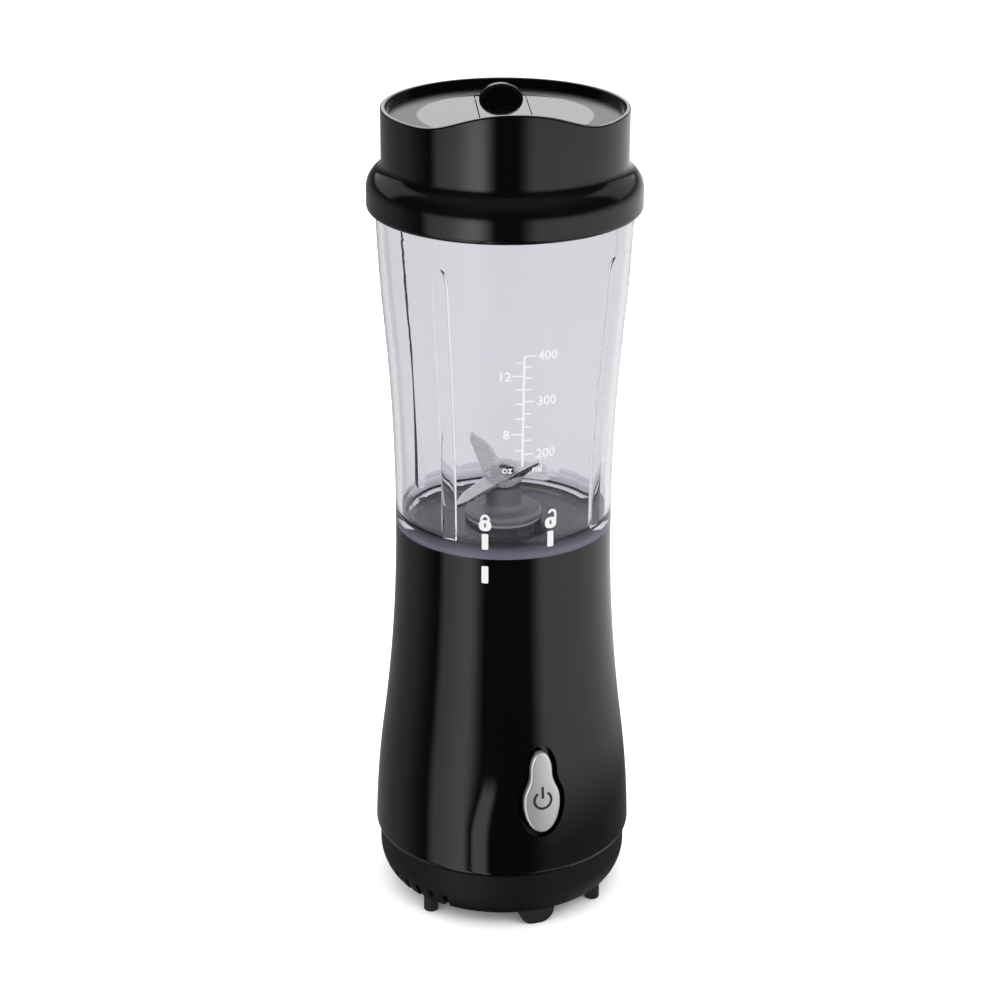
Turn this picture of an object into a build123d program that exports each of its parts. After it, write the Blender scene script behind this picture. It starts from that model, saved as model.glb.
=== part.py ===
from build123d import *
from math import sqrt
import os

# Single-serve countertop blender: a waisted motor base, a clear jar that twists into
# it on a bayonet, and a screw-on drinking lid with a tip-up flap.
# Millimetres, +Z up, origin on the table under the axis, the button faces -Y.
# Directions round the axis are in degrees from the front, positive towards +X.

# Clearances shared by every fit
running_gap = 0.05
press_gap = 0.03
loose_gap = 0.4

# Heights of the stack
foot_height = 6.8
cover_height = 18.4
base_height = 157.7
jar_height = 125.3
lid_height = 38.4
lip_rise = 7.5

# Base housing: a wall line that leaves the rim upright and flares to the belly
waist_r = 42.0
bend_out = 5.7
bend_drop = 86.0
belly_out = 9.2
belly_rise = 2.6
belly_edge = 1.5
housing_wall = 2.4

# Bottom cover
cover_step = 1.6
cover_draft = 3.6
cover_land = 8.0
cover_wall = 2.2
lip_height = 4.0
lip_wall = 1.6
lip_root = 3.0
vent_count = 12
vent_pitch = 8.0
vent_width = 2.4
vent_height = 6.0
grille_count = 18
grille_width = 2.6
grille_inner_r = 13.0
grille_outer_r = 27.0

# Feet
lobe_angles = (0, 180)
lobe_width = 14.0
lobe_depth = 10.0
lobe_round = 5.8
lobe_draft = 1.0
lobe_peg_r = 2.6
stud_angles = (41, 120, 221, 300)
stud_r = 2.9
stud_inset = 3.4
stud_round = 0.6
stud_peg_r = 1.7
peg_over = 1.0

# Cover screws and the posts that they go into
post_angles = (28, 152, 208, 332)
post_inset = 10.4
post_r = 4.0
post_over = 14.5
screw_r = 1.6
screw_head_r = 3.1
screw_head = 2.2
screw_bite = 14.0

# Cord inlet at the back
inlet_r = 4.4
inlet_bore_r = 3.1
inlet_flange_r = 5.8
inlet_flange = 1.4

# Bayonet between the jar and the base
skirt_step = 5.4
skirt_wall = 2.8
skirt_length = 11.5
lug_angle = 24.0
lug_height = 3.4
tab_angle = 26.0
tab_height = 3.2
tab_drop = 3.6
bayonet_count = 4
bayonet_start = 45.0

# Jar
jar_land = 6.0
jar_bend_out = 3.6
jar_bend_rise = 81.0
neck_out = 6.3
neck_drop = 4.0
jar_wall = 2.4
jar_floor = 3.4
jar_floor_drop = 2.0
jar_floor_round = 7.0
rib_half_width = 3.2
rib_half_depth = 2.1
rib_angles = (41, 131, 221, 311)
rib_top = 114.5
rib_fade = 9.0

# Blade unit in the jar floor
stem_r = 8.0
bushing_flange_r = 15.0
bushing_flange = 2.5
bushing_tower = 9.0
bushing_tower_r = 7.0
sleeve_r = 5.0
blade_gasket = 1.2
nut_height = 4.5
nut_r = 12.0
seal_height = 2.4
blade_shaft_r = 3.0
blade_thickness = 1.4
blade_hub_r = 7.5
blade_reach = 25.0
blade_root = 10.0
blade_tip = 5.0
upper_blade_tilt = 38.0
lower_blade_tilt = -20.0
spacer_height = 2.0
spacer_r = 5.2
cap_nut_flats = 9.0
cap_nut_height = 5.0

# Dog clutch between motor and blades
clutch_r = 12.0
clutch_disc = 3.2
dog_height = 4.6
dog_angle = 16.0
dog_outer_r = 11.0
dog_inner_r = 5.0
dog_count = 4
dog_lag = 62.0
clutch_gap = 0.6

# Deck under the socket
deck_thickness = 3.0
collar_r = 17.6
collar_wall = 2.2
collar_height = 5.0
shaft_seal_r = 6.5

# Motor
motor_shaft_r = 3.0
boss_place_r = 31.0
boss_r = 4.2
boss_length = 21.0
grommet_height = 2.0
bracket_plate = 3.0
bracket_r = 36.0
bearing_r = 6.0
bearing_length = 9.0
bearing_wall = 3.0
stator_r = 33.0
yoke_wall = 6.2
stack_height = 24.0
armature_r = 13.0
air_gap = 0.5
shoe_wall = 2.4
shoe_angle = 112.0
neck_width = 14.0
coil_depth = 5.4
coil_half_width = 15.0
coil_overhang = 8.0
upper_leg = 11.0
lower_leg = 27.0
leg_r = 4.0
tie_screw_r = 1.7
slot_count = 12
slot_width = 2.4
slot_depth = 4.6
winding_rise = 7.0
winding_r = 11.6
commutator_r = 8.6
commutator_length = 12.0
commutator_bars = 24
brush_width = 6.0
brush_height = 8.0
brush_length = 12.0
holder_wall = 1.2
holder_length = 12.0
holder_gap = 1.8
lower_plate = 4.0
lower_bar = 15.0
fan_r = 26.0
fan_height = 9.0
fan_disc = 1.6
fan_hub_r = 6.5
fan_blades = 11
fan_drop = 4.0

# Power button and switch
button_low = 44.6
button_height = 33.4
lower_lobe_half = 7.4
lower_lobe_rise = 12.6
upper_lobe_half = 4.4
upper_lobe_drop = 8.2
button_proud = 1.2
button_cap = 2.2
button_moat = 2.3
button_travel = 2.0
button_round = 1.2
moat_wall = 2.0
moat_floor = 2.2
stem_inset = 1.4
catch_thickness = 1.6
catch_grow = 0.9
switch_width = 20.0
switch_height = 18.0
switch_depth = 9.0
switch_wall = 1.0
plunger_r = 2.0
carrier_thickness = 2.2
carrier_rib = 2.4
small_screw_r = 1.1

# Drinking lid
spout_angle = -14.3
flange_out = 3.45
flange_edge = 2.0
flange_rise = 8.0
shoulder_round = 8.5
shoulder_hollow = 4.75
shoulder_turn = 55.0
lid_wall_in = 2.2
lid_wall = 2.0
skirt_gap = 1.3
seat_rise = 11.0
gasket_height = 1.8
plug_wall = 1.9
plug_length = 6.5
recess_depth = 3.4
disc_thickness = 2.2
lip_half_width = 35.0
lip_crown = 18.0
lip_ease = 12.0
rim_round = 0.6

# Tip-up flap in the lid
flap_width = 19.0
flap_front = 37.0
flap_thickness = 2.6
flap_corner = 6.0
hinge_y = 28.5
hinge_pin_r = 1.2
knuckle_r = 2.1
trough_depth = 4.4
trough_wall = 1.8
tab_y = 23.6
tab_half_width = 8.35
tab_half_height = 6.4
tab_thickness = 4.6
tab_round = 1.6
sip_y = -30.0
sip_length = 14.8
sip_width = 7.8

# Radii worked out from the waist
bend_r = waist_r + bend_out
belly_r = waist_r + belly_out
cover_r = belly_r - cover_step
cover_foot_r = cover_r - cover_draft
post_place_r = belly_r - post_inset
skirt_r = waist_r - skirt_step
jar_bend_r = waist_r + jar_bend_out
neck_r = waist_r + neck_out
flange_r = neck_r + flange_out
lid_wall_r = neck_r - lid_wall_in

# Levels worked out from the stack
cover_z = foot_height
seam_z = cover_z + cover_height
belly_z = seam_z + belly_rise
rim_z = base_height
bend_z = rim_z - bend_drop
lid_z = rim_z + jar_height
lid_rim_z = lid_z + lid_height
lip_z = lid_rim_z + lip_rise
seat_z = lid_z + seat_rise
jar_top_z = seat_z - gasket_height
neck_z = lid_z - neck_drop
disc_z = lid_rim_z - recess_depth

floor_low = rim_z - jar_floor_drop
floor_top = floor_low + jar_floor
driven_top = floor_low - nut_height - 0.7
driven_low = driven_top - clutch_disc - dog_height
drive_top = driven_low - clutch_gap
drive_low = drive_top - clutch_disc
deck_top = drive_low - 1.2
deck_low = deck_top - deck_thickness

flange_z = floor_top + blade_gasket
tower_top = flange_z + bushing_flange + bushing_tower
spacer_z = tower_top + loose_gap
lower_blade_z = spacer_z + spacer_height
upper_blade_z = lower_blade_z + blade_thickness
cap_nut_z = upper_blade_z + blade_thickness

boss_low = deck_low - boss_length
bracket_top = boss_low - grommet_height
bracket_low = bracket_top - bracket_plate
bearing_top = bracket_low + bearing_length + 1.5
stack_top = bracket_low - upper_leg
stack_low = stack_top - stack_height
lower_top = stack_low - lower_leg
lower_low = lower_top - lower_plate
commutator_top = stack_low - winding_rise - 2.0
commutator_low = commutator_top - commutator_length
brush_z = (commutator_top + commutator_low) / 2
fan_top = lower_low - fan_drop - bearing_wall
fan_low = fan_top - fan_height

socket_r = waist_r - housing_wall
lug_r = socket_r - loose_gap
tab_r = skirt_r + loose_gap
tab_low = rim_z - tab_drop - tab_height
lug_top = tab_low - loose_gap

bore_r = armature_r + air_gap
shoe_r = bore_r + shoe_wall
yoke_r = stator_r - yoke_wall
tie_place_r = stator_r - yoke_wall / 2

post_low = seam_z + lip_height - 1.0
button_z = button_low + button_height / 2
pin_z = disc_z + 0.15 - knuckle_r

BASE = (Align.CENTER, Align.CENTER, Align.MIN)


# Shared shapes

class Flare:
    """S-shaped wall line in (radius, height): leaves start upright, turns at bend, eases into end."""

    def __init__(self, start, bend, end):
        way = 1 if bend[1] > start[1] else -1
        self.start = start
        self.bend = bend
        self.end = end
        self.first = TangentArc(start, bend, tangent=(0, way))
        self.second = TangentArc(bend, end, tangent=self.first % 1)

    def edges(self, inset=0):
        """The two arcs, moved towards the axis by inset."""
        return [Pos(-inset, 0) * self.first.edge(), Pos(-inset, 0) * self.second.edge()]

    def radius_at(self, z):
        """Wall radius at a height."""
        in_first = abs(z - self.start[1]) < abs(self.bend[1] - self.start[1])
        arc = self.first.edge() if in_first else self.second.edge()
        centre = arc.arc_center
        side = 1 if self.bend[0] > centre.X else -1
        return centre.X + side * sqrt(arc.radius ** 2 - (z - centre.Y) ** 2)


housing_line = Flare((waist_r, rim_z), (bend_r, bend_z), (belly_r, belly_z))
jar_line = Flare((waist_r, rim_z + jar_land), (jar_bend_r, rim_z + jar_bend_rise), (neck_r, neck_z))


def spin(*lines):
    """Solid of revolution about Z from lines that close an outline in (radius, height)."""
    edges = [edge for line in lines for edge in (line if isinstance(line, list) else line.edges())]
    return revolve(Plane.XZ * make_face(edges), Axis.Z)


def spin_points(*points):
    """Solid of revolution about Z from the corners of an outline in (radius, height)."""
    return spin(Polyline(*points, close=True))


def disc(radius, low, high):
    return Pos(0, 0, low) * Cylinder(radius, high - low, align=BASE)


def ring(outer, inner, low, high):
    return disc(outer, low, high) - disc(inner, low - 1, high + 1)


def sector(outer, inner, low, high, middle, width):
    """A slice of a ring, width degrees wide about the direction middle."""
    section = Pos((inner + outer) / 2, (low + high) / 2) * Rectangle(outer - inner, high - low)
    slice_ = revolve(Plane.XZ * section, Axis.Z, width)
    return Rot(0, 0, middle - 90 - width / 2) * slice_


def post(radius, low, high, place_r, angle):
    """An upright cylinder at a direction round the axis."""
    return Rot(0, 0, angle) * Pos(0, -place_r, 0) * disc(radius, low, high)


def joined(shapes):
    """Fuses a list of solids, first to last."""
    result = shapes[0]
    for shape in shapes[1:]:
        result = result + shape
    return result


def group(shapes):
    """Separate solids that share one node."""
    return Compound([solid for shape in shapes for solid in shape.solids()])


def housing_layer(outer_inset, inner_inset):
    """A layer of the housing wall between two radial insets."""
    return spin(
        housing_line.edges(outer_inset),
        Line((belly_r - outer_inset, belly_z), (belly_r - inner_inset, belly_z)),
        housing_line.edges(inner_inset),
        Line((waist_r - outer_inset, rim_z), (waist_r - inner_inset, rim_z)),
    )


def housing_core(inset):
    """The space inside the housing wall, inset from its outer face, down to the seam."""
    return spin(
        housing_line.edges(inset),
        Polyline((belly_r - inset, belly_z), (belly_r - inset, seam_z), (0, seam_z), (0, rim_z),
                 (waist_r - inset, rim_z)),
    )


def pear(grow=0):
    """The button's outline on the front plane, grown all round: a wide lower and a slim upper lobe."""
    low_z = button_low + lower_lobe_rise
    high_z = button_low + button_height - upper_lobe_drop
    ease = (high_z - low_z) / 2
    wide = lower_lobe_half + grow
    slim = upper_lobe_half + grow
    bottom = EllipticalCenterArc((0, low_z), wide, lower_lobe_rise + grow, 180, arc_size=180)
    top = EllipticalCenterArc((0, high_z), slim, upper_lobe_drop + grow, 0, arc_size=180)
    right = Bezier((wide, low_z), (wide, low_z + ease), (slim, high_z - ease), (slim, high_z))
    left = Bezier((-wide, low_z), (-wide, low_z + ease), (-slim, high_z - ease), (-slim, high_z))
    return make_face([bottom.edge(), right.edge(), top.edge(), left.edge()])


def pear_bar(grow=0):
    """The button's outline pushed from the axis out through the front wall."""
    return extrude(Plane.XZ * pear(grow), 70)


# Base casing

def base_housing():
    """Gloss outer shell with the jar socket, the motor bosses and the button's moat."""
    shell = spin(
        housing_line.edges(),
        TangentArc((belly_r, belly_z), (belly_r - belly_edge, seam_z), tangent=(0, -1)),
        Polyline((belly_r - belly_edge, seam_z), (belly_r - housing_wall, seam_z),
                 (belly_r - housing_wall, belly_z)),
        housing_line.edges(housing_wall),
        Line((socket_r, rim_z), (waist_r, rim_z)),
    )
    deck_edge = housing_line.radius_at(deck_low) - housing_wall / 2
    parts = [shell, ring(deck_edge, shaft_seal_r, deck_low, deck_top)]
    parts.append(ring(collar_r, collar_r - collar_wall, deck_low + 0.5, deck_top + collar_height))
    for angle in bayonet_angles():
        parts.append(bayonet_hook(angle))
    for index in range(4):
        parts.append(post(boss_r, boss_low, deck_low + 0.5, boss_place_r, 45 + 90 * index))
    core = housing_core(housing_wall / 2)
    for angle in post_angles:
        parts.append(post(post_r, post_low, bend_z + post_over, post_place_r, angle) & core)
    rib_depth = belly_r - switch_back()
    for side in (-1, 1):
        across = side * (switch_width / 2 + carrier_rib / 2 + loose_gap)
        place = Pos(across, -switch_back() - rib_depth / 2, button_z)
        parts.append(place * Box(carrier_rib, rib_depth, switch_height + 6) & core)
    moat_depth = button_cap - button_proud + button_travel + loose_gap
    parts.append(pear_bar(button_moat + moat_wall) & housing_layer(1.0, moat_depth + moat_floor))
    body = joined(parts)
    body = body - (pear_bar(button_moat) & housing_layer(-5.0, moat_depth))
    body = body - (pear_bar(-stem_inset + loose_gap) & housing_layer(-5.0, moat_depth + moat_floor + 4.0))
    for index in range(4):
        angle = 45 + 90 * index
        body = body - post(screw_r + press_gap, boss_low - 1, boss_low + screw_bite, boss_place_r, angle)
    for angle in post_angles:
        bore_top = post_low + screw_bite + 1
        body = body - post(screw_r + press_gap, post_low - 1, bore_top, post_place_r, angle)
    for hole in carrier_screw_places():
        body = body - hole * Cylinder(small_screw_r + press_gap, 14)
    return body


def bayonet_angles():
    return [bayonet_start + 360 / bayonet_count * index for index in range(bayonet_count)]


def bayonet_hook(angle):
    """A tab over the jar's lug, and the wall that stops the lug when the jar is locked."""
    reach = socket_r + housing_wall / 2
    tab = sector(reach, tab_r, tab_low, tab_low + tab_height, angle, tab_angle)
    stop = sector(reach, tab_r, lug_top - lug_height, tab_low + 0.5, angle + lug_angle / 2 + 2.6, 3.2)
    return tab + stop


def cover_core(inset):
    """The space inside the cover's side wall, inset from its outer face."""
    land_z = seam_z - cover_land
    return spin(
        Line((cover_r - inset, seam_z), (cover_r - inset, land_z)),
        TangentArc((cover_r - inset, land_z), (cover_foot_r - inset, cover_z), tangent=(0, -1)),
        Polyline((cover_foot_r - inset, cover_z), (0, cover_z), (0, seam_z), (cover_r - inset, seam_z)),
    )


def bottom_cover():
    """Matt lower shell: side vents, a floor grille, screw bosses and foot holes."""
    hollow = cover_core(cover_wall) - disc(cover_r, cover_z - 1, cover_z + cover_wall)
    shell = cover_core(0) - hollow
    lip_r = belly_r - housing_wall - loose_gap
    body = shell + ring(lip_r, lip_r - lip_wall, seam_z - lip_root, seam_z + lip_height)
    for angle in post_angles:
        body = body + post(post_r + 0.6, cover_z + 0.5, post_low, post_place_r, angle)
    for angle in post_angles:
        body = body - post(screw_r + 0.3, cover_z - 1, post_low + 1, post_place_r, angle)
        sink_top = cover_z + cover_wall + screw_head
        body = body - post(screw_head_r + 0.3, cover_z - 1, sink_top, post_place_r, angle)
    slot = Pos(0, -(cover_r - 1), cover_z + (vent_height - 2) / 2) * Box(vent_width, 9, vent_height + 2)
    for side in (90, -90):
        for index in range(vent_count):
            body = body - Rot(0, 0, side + vent_pitch * (index - (vent_count - 1) / 2)) * slot
    middle = (grille_inner_r + grille_outer_r) / 2
    outline = SlotOverall(grille_outer_r - grille_inner_r, grille_width, 90)
    bar = Pos(0, -middle, cover_z) * extrude(outline, 12, both=True)
    for index in range(grille_count):
        body = body - Rot(0, 0, 360 / grille_count * index) * bar
    floor_high = cover_z + cover_wall + 1
    for angle in lobe_angles:
        body = body - post(lobe_peg_r + press_gap, cover_z - 1, floor_high, lobe_place_r(), angle)
    for angle in stud_angles:
        body = body - post(stud_peg_r + press_gap, cover_z - 1, floor_high, stud_place_r(), angle)
    return body - inlet_place() * Cylinder(inlet_r + press_gap, 30)


def inlet_place():
    """Axis of the cord inlet, out of the back of the cover."""
    return Pos(0, cover_r, seam_z - lip_root - inlet_flange_r - loose_gap) * Rot(90, 0, 0)


def cord_grommet():
    """Rubber ring that lines the cord inlet, with a flange on each face of the cover's wall."""
    inside = cover_wall + inlet_flange
    place = inlet_place()
    tube = place * Cylinder(inlet_r, 30) & (cover_core(-inlet_flange) - cover_core(inside))
    flange = place * Cylinder(inlet_flange_r, 30)
    outer = flange & (cover_core(-inlet_flange) - cover_core(0))
    inner = flange & (cover_core(cover_wall) - cover_core(inside))
    return tube + outer + inner - place * Cylinder(inlet_bore_r, 40)


def lobe_place_r():
    """Radius of the peg of a wide foot."""
    return cover_foot_r - lobe_depth / 2


def stud_place_r():
    """Radius of the peg of a small foot."""
    return cover_foot_r - stud_inset


def lobe_foot(angle):
    """Wide rubber foot: a half-round lobe that carries the cover's side on down to the table."""
    block = Pos(0, -lobe_place_r(), 0) * Box(lobe_width, lobe_depth + 2, foot_height, align=BASE)
    block = fillet(block.edges().filter_by(Axis.Y).sort_by(Axis.Z)[:2], lobe_round)
    block = block & Cone(cover_foot_r - lobe_draft, cover_foot_r, foot_height, align=BASE)
    peg = Pos(0, -lobe_place_r(), 0) * disc(lobe_peg_r, foot_height - peg_over, foot_height + cover_wall)
    return Rot(0, 0, angle) * (block + peg)


def stud_foot(angle):
    """Small rubber foot: a round stud with a peg pressed into the cover's floor."""
    stud = disc(stud_r, 0, foot_height)
    stud = fillet(stud.edges().sort_by(Axis.Z)[0], stud_round)
    stud = stud + disc(stud_peg_r, foot_height - peg_over, foot_height + cover_wall)
    return Rot(0, 0, angle) * Pos(0, -stud_place_r(), 0) * stud


def cover_screws():
    """Screws that draw the cover up to the housing's posts."""
    head_low = cover_z + cover_wall
    screws = []
    for angle in post_angles:
        head = post(screw_head_r, head_low, head_low + screw_head, post_place_r, angle)
        shank = post(screw_r, head_low + screw_head, post_low + screw_bite - 1, post_place_r, angle)
        screws.append(head + shank)
    return group(screws)


# Button and switch

def switch_front():
    """Distance of the switch's front face from the axis."""
    depth = button_cap - button_proud + button_travel + loose_gap + moat_floor
    wall = housing_line.radius_at(button_low + button_height)
    return wall - depth - loose_gap - catch_thickness - button_travel - 2.0


def switch_back():
    return switch_front() - switch_depth


def power_button():
    """Pear-shaped cap that stands a little proud of the wall, with its stem and catch behind."""
    moat_depth = button_cap - button_proud + button_travel + loose_gap
    behind = moat_depth + moat_floor + loose_gap
    cap = pear_bar() & housing_layer(-button_proud, button_cap - button_proud)
    rim = cap.faces().sort_by(Axis.Y)[0].edges()
    cap = fillet(rim, button_round)
    stem = pear_bar(-stem_inset) & housing_layer(0, behind + 0.5)
    catch = pear_bar(catch_grow) & housing_layer(behind, behind + catch_thickness)
    return cap + stem + catch


def switch_plunger():
    """Round plunger between the button's catch and the switch."""
    inside = switch_back() + switch_wall + button_travel + 0.2
    rod = Plane.XZ.offset(inside) * Pos(0, button_z) * Circle(plunger_r)
    reach = button_back() - inside - 0.05
    return extrude(rod, reach)


def button_back():
    """Distance of the button's back face from the axis, at the plunger's top edge."""
    depth = button_cap - button_proud + button_travel + loose_gap + moat_floor + loose_gap
    wall = housing_line.radius_at(button_z + plunger_r)
    edge = wall - depth - catch_thickness
    return sqrt(edge ** 2 - plunger_r ** 2)


def switch_body():
    """Snap-action switch with two blade terminals."""
    place = Pos(0, -switch_front() + switch_depth / 2, button_z)
    case = place * Box(switch_width, switch_depth, switch_height)
    case = fillet(case.edges().filter_by(Axis.Y), 1.5)
    bore = Plane.XZ.offset(switch_back() + switch_wall) * Pos(0, button_z) * Circle(plunger_r + running_gap)
    case = case - extrude(bore, switch_depth)
    for side in (-1, 1):
        blade = Pos(side * 5, -switch_back() - 2, button_z - switch_height / 2 - 3) * Box(4.8, 0.8, 7)
        case = case + blade
    return case


def carrier_screw_places():
    """Axes of the two screws that hold the switch carrier to the housing's ribs."""
    x = switch_width / 2 + carrier_rib / 2 + loose_gap
    z = button_z + switch_height / 2 + 1
    return [Pos(side * x, -switch_back(), z) * Rot(90, 0, 0) for side in (-1, 1)]


def switch_carrier():
    """Plate that holds the switch against the button from behind."""
    width = switch_width + 2 * carrier_rib + 4 * loose_gap
    place = Pos(0, -switch_back() + carrier_thickness / 2, button_z)
    plate = place * Box(width, carrier_thickness, switch_height + 6)
    plate = fillet(plate.edges().filter_by(Axis.Y), 1.2)
    plate = plate - place * Pos(0, 0, -2) * Box(switch_width - 10, carrier_thickness + 2, 4)
    for hole in carrier_screw_places():
        plate = plate - hole * Cylinder(small_screw_r + press_gap, 14)
    return plate


def carrier_screws():
    """Two small screws through the switch carrier."""
    screws = []
    for place in carrier_screw_places():
        length = carrier_thickness + 5
        shank = place * Pos(0, 0, -carrier_thickness) * Cylinder(small_screw_r, length, align=BASE)
        head = place * Pos(0, 0, -carrier_thickness - 1.4) * Cylinder(2.0, 1.4, align=BASE)
        screws.append(shank + head)
    return group(screws)


# Motor

def upper_bracket():
    """Round bridge that hangs the motor from the deck and holds the upper bearing."""
    plate = ring(bracket_r, 19.0, bracket_low, bracket_top)
    for index in range(4):
        window = sector(26.5, 20.5, bracket_low - 1, bracket_top + 1, 45 + 90 * index, 50)
        plate = plate - window
    arms = disc(20.0, bracket_low, bracket_top) & (
        Pos(0, 0, bracket_low) * Box(40, 14, bracket_plate, align=BASE)
        + Pos(0, 0, bracket_low) * Box(14, 40, bracket_plate, align=BASE))
    hub = disc(bearing_r + bearing_wall, bracket_low, bearing_top)
    body = plate + arms + hub
    for angle in (90, -90):
        body = body + post(leg_r, stack_top, bracket_low + 0.5, tie_place_r, angle)
    body = body - disc(bearing_r + press_gap, bearing_top - bearing_length, bearing_top + 1)
    body = body - disc(motor_shaft_r + 1.0, bracket_low - 1, bearing_top)
    for index in range(4):
        body = body - post(screw_r + 0.2, bracket_low - 1, bracket_top + 1, boss_place_r, 45 + 90 * index)
    for angle in (90, -90):
        body = body - post(tie_screw_r + 0.1, stack_top - 1, bracket_top + 1, tie_place_r, angle)
    return body


def upper_bearing():
    """Sintered sleeve in the upper bracket."""
    return ring(bearing_r, motor_shaft_r + running_gap, bearing_top - bearing_length, bearing_top)


def lower_bracket():
    """Cross-shaped yoke under the stator: lower bearing and brush holders."""
    low = lower_low
    long_bar = Pos(0, 0, low) * Box(2 * tie_place_r + lower_bar, lower_bar, lower_plate, align=BASE)
    long_bar = fillet(long_bar.edges().filter_by(Axis.Z), 6)
    cross = Pos(0, 0, low) * Box(
        lower_bar, 2 * (commutator_r + holder_gap + holder_length), lower_plate, align=BASE)
    hub = disc(bearing_r + bearing_wall, low - bearing_wall, lower_top + 2.5)
    body = long_bar + cross + hub
    for angle in (90, -90):
        body = body + post(leg_r, lower_top - 0.5, stack_low, tie_place_r, angle)
    rest_z = brush_z - brush_height / 2 - holder_wall
    for side in (-1, 1):
        y = side * (commutator_r + holder_gap + holder_length / 2)
        height = rest_z - lower_top + 0.5
        pillar = Pos(0, y, lower_top - 0.5) * Box(lower_bar - 5, holder_length - 4, height, align=BASE)
        body = body + pillar
    body = body - disc(bearing_r + press_gap, lower_top + 2.5 - bearing_length, lower_top + 3)
    body = body - disc(motor_shaft_r + 1.0, low - 10, lower_top)
    for angle in (90, -90):
        body = body - post(tie_screw_r + press_gap, low - 1, stack_low + 1, tie_place_r, angle)
    return body


def lower_bearing():
    """Sintered sleeve in the lower bracket."""
    top = lower_top + 2.5
    return ring(bearing_r, motor_shaft_r + running_gap, top - bearing_length, top)


def stator_core():
    """Laminated two-pole field core."""
    yoke = ring(stator_r, yoke_r, stack_low, stack_top)
    bar = Pos(0, 0, stack_low) * Box(neck_width, 2 * yoke_r + 2, stack_height, align=BASE)
    core = yoke + (bar - disc(bore_r, stack_low - 1, stack_top + 1))
    for angle in (0, 180):
        core = core + sector(shoe_r, bore_r, stack_low, stack_top, angle, shoe_angle)
    for angle in (90, -90):
        core = core - post(tie_screw_r + 0.1, stack_low - 1, stack_top + 1, tie_place_r, angle)
    return core


def field_coil(side):
    """Copper coil round one pole of the stator."""
    tall = stack_height + 2 * coil_overhang
    loop = RectangleRounded(2 * coil_half_width, tall, 6)
    hole = RectangleRounded(neck_width + 2 * loose_gap, stack_height + 2 * loose_gap, 1)
    flat = Plane.XZ * Pos(0, (stack_low + stack_top) / 2) * (loop - hole)
    front = shoe_r + loose_gap
    coil = extrude(flat, coil_depth)
    y = -front if side < 0 else front + coil_depth
    return Pos(0, y, 0) * coil


def armature_core():
    """Slotted laminated rotor core."""
    core = ring(armature_r, motor_shaft_r + press_gap, stack_low, stack_top)
    slot = Pos(0, -armature_r + slot_depth / 2, stack_low - 1) * Box(
        slot_width, slot_depth + 0.4, stack_height + 2, align=BASE)
    for index in range(slot_count):
        core = core - Rot(0, 0, 360 / slot_count * index) * slot
    return core


def armature_winding():
    """Enamelled winding: bars in the slots and a rounded bundle of end turns at each end."""
    low = stack_low - winding_rise
    high = stack_top + winding_rise
    inner = motor_shaft_r + 2.2
    bundle = []
    for base, tip in ((stack_low - 0.2, low), (stack_top + 0.2, high)):
        way = 1 if tip > base else -1
        bundle.append(spin_points((inner, base), (winding_r, base), (winding_r, tip - way * 3),
                                  (winding_r - 2.5, tip), (inner, tip)))
    depth = slot_depth - 1.6
    bar = Pos(0, -armature_r + slot_depth - depth / 2 - 0.2, stack_low - 0.5) * Box(
        slot_width - 0.4, depth, stack_height + 1, align=BASE)
    for index in range(slot_count):
        bundle.append(Rot(0, 0, 360 / slot_count * index) * bar)
    return joined(bundle)


def commutator():
    """Copper commutator, with a groove between bars."""
    drum = ring(commutator_r, motor_shaft_r + press_gap, commutator_low, commutator_top)
    drum = drum + ring(commutator_r + 1.2, motor_shaft_r + press_gap, commutator_top - 1.5, commutator_top)
    groove = Pos(0, -commutator_r, commutator_low - 1) * Box(0.6, 1.6, commutator_length - 1.5, align=BASE)
    for index in range(commutator_bars):
        drum = drum - Rot(0, 0, 360 / commutator_bars * index) * groove
    return drum


def motor_shaft():
    """Steel shaft from the fan up to the drive clutch."""
    shaft = disc(motor_shaft_r, fan_low - 1.5, drive_top - 0.8)
    return chamfer(shaft.edges(), 0.5)


def brush_holder(side):
    """Brass box that guides one brush."""
    wide = brush_width + 2 * (holder_wall + running_gap)
    tall = brush_height + 2 * (holder_wall + running_gap)
    y = side * (commutator_r + holder_gap + holder_length / 2)
    box = Pos(0, y, brush_z) * Box(wide, holder_length, tall - 2 * running_gap)
    return box - Pos(0, y, brush_z) * Box(brush_width + 0.1, holder_length + 2, brush_height + 0.1)


def carbon_brush(side):
    """Carbon block, hollowed at its tip to the commutator's radius."""
    y = side * (commutator_r - 1 + brush_length / 2)
    block = Pos(0, y, brush_z) * Box(brush_width, brush_length, brush_height)
    return block - disc(commutator_r + loose_gap, commutator_low - 5, commutator_top + 5)


def cooling_fan():
    """Moulded radial fan on the lower end of the shaft."""
    hub = disc(fan_hub_r, fan_low, fan_top)
    body = hub + disc(fan_r, fan_top - fan_disc, fan_top)
    vane = Pos(0, -(fan_hub_r + fan_r) / 2, fan_low) * Rot(0, 0, 14) * Box(
        1.4, fan_r - fan_hub_r + 1, fan_height - 0.5, align=BASE)
    for index in range(fan_blades):
        body = body + Rot(0, 0, 360 / fan_blades * index) * vane
    body = body & disc(fan_r, fan_low, fan_top)
    return body - disc(motor_shaft_r + press_gap, fan_low - 1, fan_top + 1)


def tie_screws():
    """Two long screws that clamp the stator between the brackets."""
    screws = []
    for angle in (90, -90):
        shank = post(tie_screw_r, lower_low + 0.5, bracket_top, tie_place_r, angle)
        head = post(tie_screw_r + 1.5, bracket_top, bracket_top + 2, tie_place_r, angle)
        screws.append(shank + head)
    return group(screws)


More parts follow.
